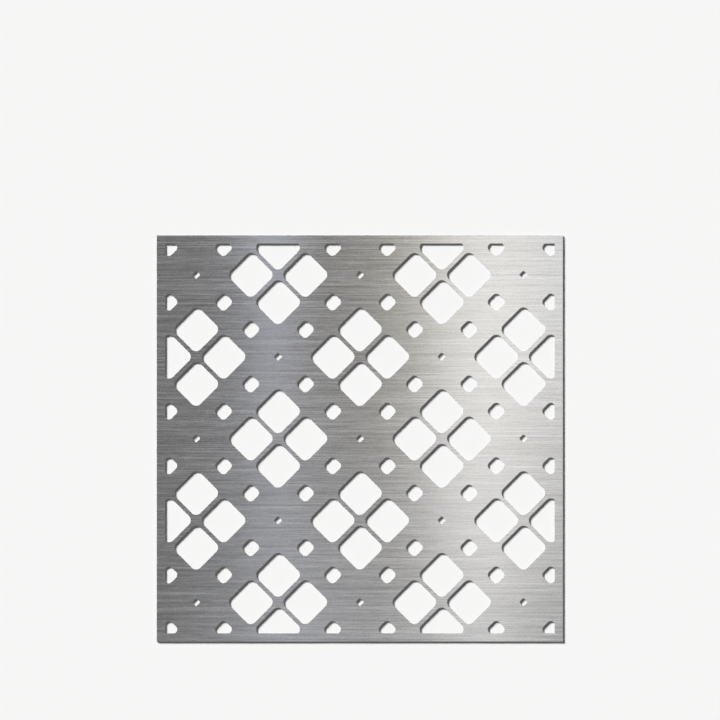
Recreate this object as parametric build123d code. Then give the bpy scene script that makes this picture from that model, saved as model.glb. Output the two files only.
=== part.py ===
"""Checker-pattern perforated steel plate.

One square plate of brushed steel, cut through by laser. Rounded square holes stand on their corners,
one at every site of a square lattice whose rows run at 45 degrees to the plate's edges. They come in
three sizes that repeat every third row and column, so that crosses of four large holes and single
small holes take turns over the plate like the fields of a checkerboard. The pattern is trimmed by a
straight window, which leaves an uncut border of even width all round.

The plate lies flat. The origin is at the middle of its underside, +X runs along the brushed grain and
+Z points out of the brushed face. All sizes are in millimetres.
"""

import math
import os

from build123d import *

# Plate
plate_length = 1000.0  # along X, with the grain
plate_width = 1000.0  # along Y, across the grain
plate_thickness = 3.0
border_width = 20.0  # uncut margin between the window and the plate's edge

# Hole lattice
hole_pitch = 95.0  # between the centres of neighbouring holes, along a row
row_angle = 45.0  # degrees between the rows and the plate's edges
repeat_count = 3  # rows, and columns, after which the hole sizes repeat

# Holes, across their flat sides
web_width = 10.0  # strip of metal left between two neighbouring large holes
medium_hole_side = 35.0
small_hole_side = 15.0
large_hole_side = hole_pitch - web_width

# Rounded corners of the holes
large_corner_radius = 15.0
medium_corner_radius = 10.0
small_corner_radius = 3.0
roundest_corner_share = 0.9  # of half a side, so that a short flat is always left between two corners

# Window that trims the pattern
window_length = plate_length - 2 * border_width
window_width = plate_width - 2 * border_width


def hole_outline(row, column):
    """Rounded square for one lattice site: small where a third row meets a third column, medium where
    only one of the two passes, and large everywhere else."""
    on_third_row = row % repeat_count == 0
    on_third_column = column % repeat_count == 0
    if on_third_row and on_third_column:
        side, radius = small_hole_side, small_corner_radius
    elif on_third_row or on_third_column:
        side, radius = medium_hole_side, medium_corner_radius
    else:
        side, radius = large_hole_side, large_corner_radius
    return RectangleRounded(side, side, min(radius, roundest_corner_share * side / 2))


def hole_places():
    """Lattice sites whose centres lie inside the window, each as its row, its column and its place."""
    reach = math.ceil(math.hypot(window_length, window_width) / 2 / hole_pitch)
    for row in range(-reach, reach + 1):
        for column in range(-reach, reach + 1):
            place = Rot(0, 0, row_angle) * Pos(column * hole_pitch, row * hole_pitch)
            centre = place.position
            if abs(centre.X) < window_length / 2 and abs(centre.Y) < window_width / 2:
                yield row, column, place


def checker_plate():
    """The blank, less every hole as the window trims it, raised to the plate's thickness."""
    blank = Rectangle(plate_length, plate_width)
    window = Rectangle(window_length, window_width)
    holes = Sketch() + [place * hole_outline(row, column) for row, column, place in hole_places()]
    return extrude(blank - (holes & window), plate_thickness)


os.makedirs("parts", exist_ok=True)
export_step(checker_plate(), "parts/checker_plate.step")
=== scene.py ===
"""Square plate of brushed steel with a checker of diamond holes, lying flat under soft studio light."""

import math

import bpy
import numpy as np
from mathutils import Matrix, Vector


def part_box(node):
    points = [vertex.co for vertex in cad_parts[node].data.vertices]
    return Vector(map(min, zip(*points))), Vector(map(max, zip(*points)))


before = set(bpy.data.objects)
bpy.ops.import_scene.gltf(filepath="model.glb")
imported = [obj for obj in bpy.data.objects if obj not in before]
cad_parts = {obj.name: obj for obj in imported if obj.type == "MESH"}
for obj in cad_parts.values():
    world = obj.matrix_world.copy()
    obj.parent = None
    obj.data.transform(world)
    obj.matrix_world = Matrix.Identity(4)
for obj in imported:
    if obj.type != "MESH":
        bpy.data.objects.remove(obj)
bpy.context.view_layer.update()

# Perforated plate
# One flat sheet of stainless steel, laser cut from a larger sheet that a belt had brushed along X.
# The cut walls keep the upright marks of the beam, and a light pass of a deburring brush has broken
# every edge. Nothing holds the plate: it lies on its plain back.
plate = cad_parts["checker_plate"]
plate_low, plate_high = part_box("checker_plate")
plate_size = plate_high - plate_low

# Broken edges
weld_distance = 0.000001
edge_break = 0.0002
edge_break_steps = 2
sharp_edge_angle = math.radians(40)
edge_colour = (0.68, 0.68, 0.68, 1.0)

weld = plate.modifiers.new("closed_skin", "WELD")
weld.merge_threshold = weld_distance
bevel = plate.modifiers.new("broken_edges", "BEVEL")
bevel.width = edge_break
bevel.segments = edge_break_steps
bevel.limit_method = "ANGLE"
bevel.angle_limit = sharp_edge_angle
bevel.face_strength_mode = "FSTR_ALL"
shading = plate.modifiers.new("even_shading", "WEIGHTED_NORMAL")
shading.use_face_influence = True

# Brushed faces: each layer of lines has its length, its width, its seed, octaves and strength
long_lines = (0.600, 0.0010, 2.5, 4.0, 1.00)
short_lines = (0.080, 0.0009, 1.5, 4.0, 0.85)
scratches = (0.0035, 0.0009, 5.5, 1.0, 0.40)
hair_lines = (0.040, 0.0002, 3.5, 3.0, 0.80)
# Painted glare: the lines are strongest at the left end and painted fainter at the right, as if bright
# light washed them out
line_strength_left_painted_glare = 1.05
line_strength_right_painted_glare = 0.70
steel_colour = (0.57, 0.57, 0.57)
line_contrast = 1.5
brightest_line = 1.65
smooth_roughness = 0.16
scratched_roughness = 0.40

# Cut walls
beam_mark_size = (0.0005, 0.0005, 0.006)
beam_mark_octaves = 2.0
wall_dark_colour = (0.36, 0.355, 0.35, 1.0)
wall_light_colour = (0.58, 0.575, 0.565, 1.0)
beam_depth_top = 0.5
beam_depth_bottom = 1.3
cut_roughness = 0.40

# Relief and grain of the whole skin
relief_depth = 0.00002
relief_strength = 0.3
face_grain = (1.0, 0.0, 0.0)
wall_grain = (0.0, 0.0, 1.0)
grain_stretch = 0.85

# How far a surface faces straight up or down, from 0 on a cut wall to 1 on a brushed face
cut_wall_end = 0.05
edge_start = 0.20
flat_start = 0.80
edge_end = 0.90
face_start = 0.98


def add_node(tree, kind, inputs=None, **settings):
    """A new node of one kind: its settings come first, then each input is linked or given its value."""
    made = tree.nodes.new(kind)
    for name, value in settings.items():
        setattr(made, name, value)
    for name, value in (inputs or {}).items():
        if isinstance(value, bpy.types.NodeSocket):
            tree.links.new(value, made.inputs[name])
        else:
            made.inputs[name].default_value = value
    return made


def add_math(tree, operation, *values):
    """The result of one sum on numbers, each a socket or a plain value."""
    return add_node(tree, "ShaderNodeMath", dict(enumerate(values)), operation=operation).outputs[0]


def add_vector_math(tree, operation, first, second):
    """The result of one sum on two vectors, or of a vector scaled by a number."""
    second_input = "Scale" if operation == "SCALE" else 1
    made = add_node(tree, "ShaderNodeVectorMath", {0: first, second_input: second}, operation=operation)
    return made.outputs["Value" if operation == "DOT_PRODUCT" else "Vector"]


def add_range(tree, value, low, high, to_low=0.0, to_high=1.0):
    """The value carried in a straight line from one range to another, and held at both ends."""
    ends = {"Value": value, "From Min": low, "From Max": high, "To Min": to_low, "To Max": to_high}
    return add_node(tree, "ShaderNodeMapRange", ends).outputs[0]


def add_mix(tree, kind, share, first, second):
    """A mix of two numbers, vectors or colours, all the first at a share of 0 and all the second at 1."""
    mixed = add_node(tree, "ShaderNodeMix", {"Factor": share, "A": first, "B": second}, data_type=kind)
    return mixed.outputs["Result"]


def empty_material(name):
    """A new node material with no nodes in it yet, and its node tree."""
    material = bpy.data.materials.new(name)
    material.use_nodes = True
    material.node_tree.nodes.clear()
    return material, material.node_tree


def add_noise(tree, place, octaves):
    """Fractal noise read at a place, and spread so that most of it lies between -1 and 1."""
    noise_middle = 0.5
    noise_spread = 3.6
    inputs = {"Vector": place, "Scale": 1.0, "Detail": octaves}
    noise = add_node(tree, "ShaderNodeTexNoise", inputs).outputs[0]
    return add_math(tree, "MULTIPLY", add_math(tree, "SUBTRACT", noise, noise_middle), noise_spread)


def line_group():
    """Node group for lines that run straight along X: Y is counted in line widths, every whole count has
    noise of its own along X, and between two counts the one line fades into the next."""
    line_stride = 5.3
    tree = bpy.data.node_groups.new("straight_lines", "ShaderNodeTree")
    tree.interface.new_socket("Place", in_out="INPUT", socket_type="NodeSocketVector")
    for name in ("Length", "Width", "Seed", "Octaves"):
        tree.interface.new_socket(name, in_out="INPUT", socket_type="NodeSocketFloat")
    tree.interface.new_socket("Lines", in_out="OUTPUT", socket_type="NodeSocketFloat")
    given = add_node(tree, "NodeGroupInput").outputs
    place = add_node(tree, "ShaderNodeSeparateXYZ", {0: given["Place"]}).outputs
    along = add_math(tree, "DIVIDE", place["X"], given["Length"])
    across = add_math(tree, "DIVIDE", place["Y"], given["Width"])
    first_count = add_math(tree, "FLOOR", across)
    lines = []
    for count in (first_count, add_math(tree, "ADD", first_count, 1.0)):
        spot = {"X": along, "Y": add_math(tree, "MULTIPLY", count, line_stride), "Z": given["Seed"]}
        place_in_noise = add_node(tree, "ShaderNodeCombineXYZ", spot).outputs[0]
        lines.append(add_noise(tree, place_in_noise, given["Octaves"]))
    faded = add_mix(tree, "FLOAT", add_math(tree, "FRACT", across), *lines)
    add_node(tree, "NodeGroupOutput", {"Lines": faded})
    return tree


straight_lines = line_group()


def add_lines(tree, place, layer, base):
    """One layer of straight lines, times its strength, on top of the base."""
    length, width, seed, octaves, strength = layer
    inputs = {"Place": place, "Length": length, "Width": width, "Seed": seed, "Octaves": octaves}
    lines = add_node(tree, "ShaderNodeGroup", inputs, node_tree=straight_lines).outputs["Lines"]
    return add_math(tree, "MULTIPLY_ADD", lines, strength, base)


def brushed_lines(tree, place):
    """All four layers of lines added up, painted fainter at the right end of the plate: painted glare
    washing them out.
    """
    lines = 0.0
    for layer in (long_lines, short_lines, scratches, hair_lines):
        lines = add_lines(tree, place, layer, lines)
    along = add_node(tree, "ShaderNodeSeparateXYZ", {0: place}).outputs["X"]
    # Painted glare: the lines fade from the left end to the right end of the plate
    depth = add_range(tree, along, plate_low.x, plate_high.x, line_strength_left_painted_glare, line_strength_right_painted_glare)
    return add_math(tree, "MULTIPLY", lines, depth)


def beam_marks(tree, place):
    """Upright marks of the beam, fine where it went in at the top and deeper where it came out below."""
    marks = add_noise(tree, add_vector_math(tree, "DIVIDE", place, beam_mark_size), beam_mark_octaves)
    upward = add_node(tree, "ShaderNodeSeparateXYZ", {0: place}).outputs["Z"]
    depth = add_range(tree, upward, plate_low.z, plate_high.z, beam_depth_bottom, beam_depth_top)
    return add_math(tree, "MULTIPLY", marks, depth)


def brushed_steel():
    """Stainless steel in three zones, told apart by how far the surface faces up or down: brushed faces
    with light rough lines beside dark smooth ones, walls with beam marks, and bright edges between."""
    material, tree = empty_material("brushed_steel")
    where = add_node(tree, "ShaderNodeTexCoord").outputs
    upright = add_node(tree, "ShaderNodeSeparateXYZ", {0: where["Normal"]}).outputs["Z"]
    facing = add_math(tree, "ABSOLUTE", upright)
    off_wall = add_range(tree, facing, cut_wall_end, edge_start)
    on_face = add_range(tree, facing, edge_end, face_start)
    is_flat = add_math(tree, "GREATER_THAN", facing, flat_start)

    lines = brushed_lines(tree, where["Object"])
    brightness = add_math(tree, "MINIMUM", add_math(tree, "POWER", line_contrast, lines), brightest_line)
    face_colour = add_vector_math(tree, "SCALE", steel_colour, brightness)
    face_roughness = add_range(tree, lines, -1.0, 1.0, smooth_roughness, scratched_roughness)

    marks = beam_marks(tree, where["Object"])
    wall_share = add_range(tree, marks, -1.0, 1.0)
    wall_colour = add_mix(tree, "RGBA", wall_share, wall_dark_colour, wall_light_colour)

    cut_colour = add_mix(tree, "RGBA", off_wall, wall_colour, edge_colour)
    height = add_mix(tree, "FLOAT", on_face, marks, lines)
    relief = {"Height": height, "Strength": relief_strength, "Distance": relief_depth}
    grain = add_mix(tree, "VECTOR", is_flat, wall_grain, face_grain)
    finish = {
        "Base Color": add_mix(tree, "RGBA", on_face, cut_colour, face_colour),
        "Metallic": 1.0,
        "Roughness": add_mix(tree, "FLOAT", on_face, cut_roughness, face_roughness),
        "Normal": add_node(tree, "ShaderNodeBump", relief).outputs[0],
        "Anisotropic": grain_stretch,
        "Tangent": add_vector_math(tree, "CROSS_PRODUCT", where["Normal"], grain),
    }
    steel = add_node(tree, "ShaderNodeBsdfPrincipled", finish)
    add_node(tree, "ShaderNodeOutputMaterial", {"Surface": steel.outputs[0]})
    return material


plate.data.materials.clear()
plate.data.materials.append(brushed_steel())

# Floor
# A smooth studio floor of pale matt paint, as wide as the eye can see. It stays a hair below the
# plate's back, so that the two surfaces never share a level.
floor_half = 25.0
floor_gap = 0.0001
floor_colour = (0.92, 0.92, 0.915, 1.0)
floor_roughness = 0.9
floor_shine = 0.1


def level_sheet(name, half_length, half_width, height):
    """A level rectangle as a grid over u and v, each from -1 to 1: x is the half length times u, y is the
    half width times v, and z is the height all over."""
    u, v = np.meshgrid((-1.0, 1.0), (-1.0, 1.0))
    places = np.stack((half_length * u, half_width * v, np.full_like(u, height)), axis=-1)
    mesh = bpy.data.meshes.new(name)
    mesh.from_pydata(places.reshape(-1, 3).tolist(), [], [(0, 1, 3, 2)])
    sheet = bpy.data.objects.new(name, mesh)
    bpy.context.scene.collection.objects.link(sheet)
    return sheet


def floor_paint():
    """Matt paint of one pale colour with hardly any shine."""
    material, tree = empty_material("floor_paint")
    finish = {"Base Color": floor_colour, "Roughness": floor_roughness, "Specular IOR Level": floor_shine}
    paint = add_node(tree, "ShaderNodeBsdfPrincipled", finish)
    add_node(tree, "ShaderNodeOutputMaterial", {"Surface": paint.outputs[0]})
    return material


floor = level_sheet("floor", floor_half, floor_half, -floor_gap)
floor.data.materials.append(floor_paint())

# Overhead panel
# A sheet of diffusing cloth stretched level above the plate, with five lamps behind it that glow softly
# through. It shows in the steel alone, as a light tent does, and throws no light on the floor.
panel_height = 1.0
panel_half_length = 0.95
panel_half_width = 1.4
cloth_glow = (0.27, 0.27, 0.27)

# Lamps behind the cloth: each has its centre and its reach along X and Y, and its colour
panel_lamps = {
    "cool_strip": ((-0.25, 1.30), (0.06, 1.20), (0.85, 0.90, 1.10)),
    "white_strip": ((0.33, 0.00), (0.17, 1.35), (0.75, 0.76, 0.80)),
    "warm_lamp": ((0.70, 0.45), (0.50, 0.95), (0.97, 0.83, 0.55)),
    "blue_lamp": ((0.80, 0.70), (0.35, 1.15), (0.00, 0.20, 0.60)),
    "near_lamp": ((-0.15, -1.00), (0.25, 0.85), (0.40, 0.41, 0.46)),
}


def glow_group():
    """Node group for the glow of one lamp through cloth: e to the power of minus the squared distance
    from the lamp's centre, counted in reaches."""
    tree = bpy.data.node_groups.new("lamp_glow", "ShaderNodeTree")
    for name in ("Place", "Centre", "Reach"):
        tree.interface.new_socket(name, in_out="INPUT", socket_type="NodeSocketVector")
    tree.interface.new_socket("Glow", in_out="OUTPUT", socket_type="NodeSocketFloat")
    given = add_node(tree, "NodeGroupInput").outputs
    offset = add_vector_math(tree, "SUBTRACT", given["Place"], given["Centre"])
    reaches = add_vector_math(tree, "DIVIDE", offset, given["Reach"])
    fall = add_math(tree, "MULTIPLY", add_vector_math(tree, "DOT_PRODUCT", reaches, reaches), -1.0)
    add_node(tree, "NodeGroupOutput", {"Glow": add_math(tree, "EXPONENT", fall)})
    return tree


def lit_cloth():
    """Cloth that shines by itself: its own dim glow, and the glow of every lamp in that lamp's colour.
    The cloth is level, so a lamp's reach along Z never counts."""
    material, tree = empty_material("lit_cloth")
    place = add_node(tree, "ShaderNodeTexCoord").outputs["Object"]
    lamp_glow = glow_group()
    light = cloth_glow
    for name, (centre, reach, colour) in panel_lamps.items():
        lamp = {"Place": place, "Centre": (*centre, panel_height), "Reach": (*reach, 1.0)}
        glow = add_node(tree, "ShaderNodeGroup", lamp, node_tree=lamp_glow, label=name).outputs["Glow"]
        light = add_vector_math(tree, "ADD", light, add_vector_math(tree, "SCALE", colour, glow))
    shine = add_node(tree, "ShaderNodeEmission", {"Color": light, "Strength": 1.0})
    add_node(tree, "ShaderNodeOutputMaterial", {"Surface": shine.outputs[0]})
    return material


panel = level_sheet("panel", panel_half_length, panel_half_width, panel_height)
panel.data.materials.append(lit_cloth())
panel.visible_camera = False
panel.visible_shadow = False
panel.visible_diffuse = False

# Key lamp
# One large lamp far off at the upper left and low down. It lights the floor and gives the plate its
# narrow shadow, and a screen keeps its glare out of the steel.
key_elevation = math.radians(20)
key_azimuth = math.radians(135)
key_width = math.radians(12)
key_strength = 8.4

key_lamp = bpy.data.lights.new("key", "SUN")
key_lamp.energy = key_strength
key_lamp.angle = key_width
key = bpy.data.objects.new("key", key_lamp)
key.rotation_euler = (0, math.pi / 2 - key_elevation, key_azimuth)
key.visible_glossy = False
bpy.context.scene.collection.objects.link(key)

# Room light
# The studio's walls, as pale as the floor where they meet it and dim further up, under a bright ceiling.
# The camera and the steel see them as they are, and only a share of their light falls on matt surfaces.
wall_glow = 0.92
dim_glow = 0.60
ceiling_glow = 0.85
fill_share = 0.11

# How far up a direction points, from 0 level to 1 straight up, where each of these begins or ends
wall_end_height = 0.12
dim_height = 0.30
ceiling_height = 0.55


def studio_room():
    """World light that goes by how far up a direction points: whole for a ray from the camera or off the
    steel, and a share of that for any other."""
    room = bpy.data.worlds.new("studio")
    room.use_nodes = True
    tree = room.node_tree
    tree.nodes.clear()
    direction = add_node(tree, "ShaderNodeTexCoord").outputs["Generated"]
    upward = add_node(tree, "ShaderNodeSeparateXYZ", {0: direction}).outputs["Z"]
    wall_light = add_range(tree, upward, wall_end_height, dim_height, wall_glow, dim_glow)
    ceiling_light = add_range(tree, upward, dim_height, ceiling_height, 0.0, ceiling_glow - dim_glow)
    ray = add_node(tree, "ShaderNodeLightPath").outputs
    is_seen = 0.0
    for kind in ("Is Camera Ray", "Is Glossy Ray", "Is Transmission Ray"):
        is_seen = add_math(tree, "MAXIMUM", is_seen, ray[kind])
    light = {
        "Color": add_math(tree, "ADD", wall_light, ceiling_light),
        "Strength": add_range(tree, is_seen, 0.0, 1.0, fill_share, 1.0),
    }
    shine = add_node(tree, "ShaderNodeBackground", light)
    add_node(tree, "ShaderNodeOutputWorld", {"Surface": shine.outputs[0]})
    return room


bpy.context.scene.world = studio_room()

# Camera
# It hangs straight above the plate and looks down, far enough off that the walls of the holes stay out
# of sight. The plate's width and middle in the picture, in pixels, set the lens and the place.
picture_side = 720
plate_pixels = 406.1
plate_middle_pixel = (359.75, 438.42)
camera_height = 7.0

pixel_size = plate_size.x / plate_pixels
lens = bpy.data.cameras.new("camera")
lens.lens = lens.sensor_width * (camera_height - plate_high.z) / (picture_side * pixel_size)
camera = bpy.data.objects.new("camera", lens)
camera.location = (
    (picture_side / 2 - plate_middle_pixel[0]) * pixel_size,
    (plate_middle_pixel[1] - picture_side / 2) * pixel_size,
    camera_height,
)
bpy.context.scene.collection.objects.link(camera)
bpy.context.scene.camera = camera
bpy.context.scene.view_settings.view_transform = "Standard"
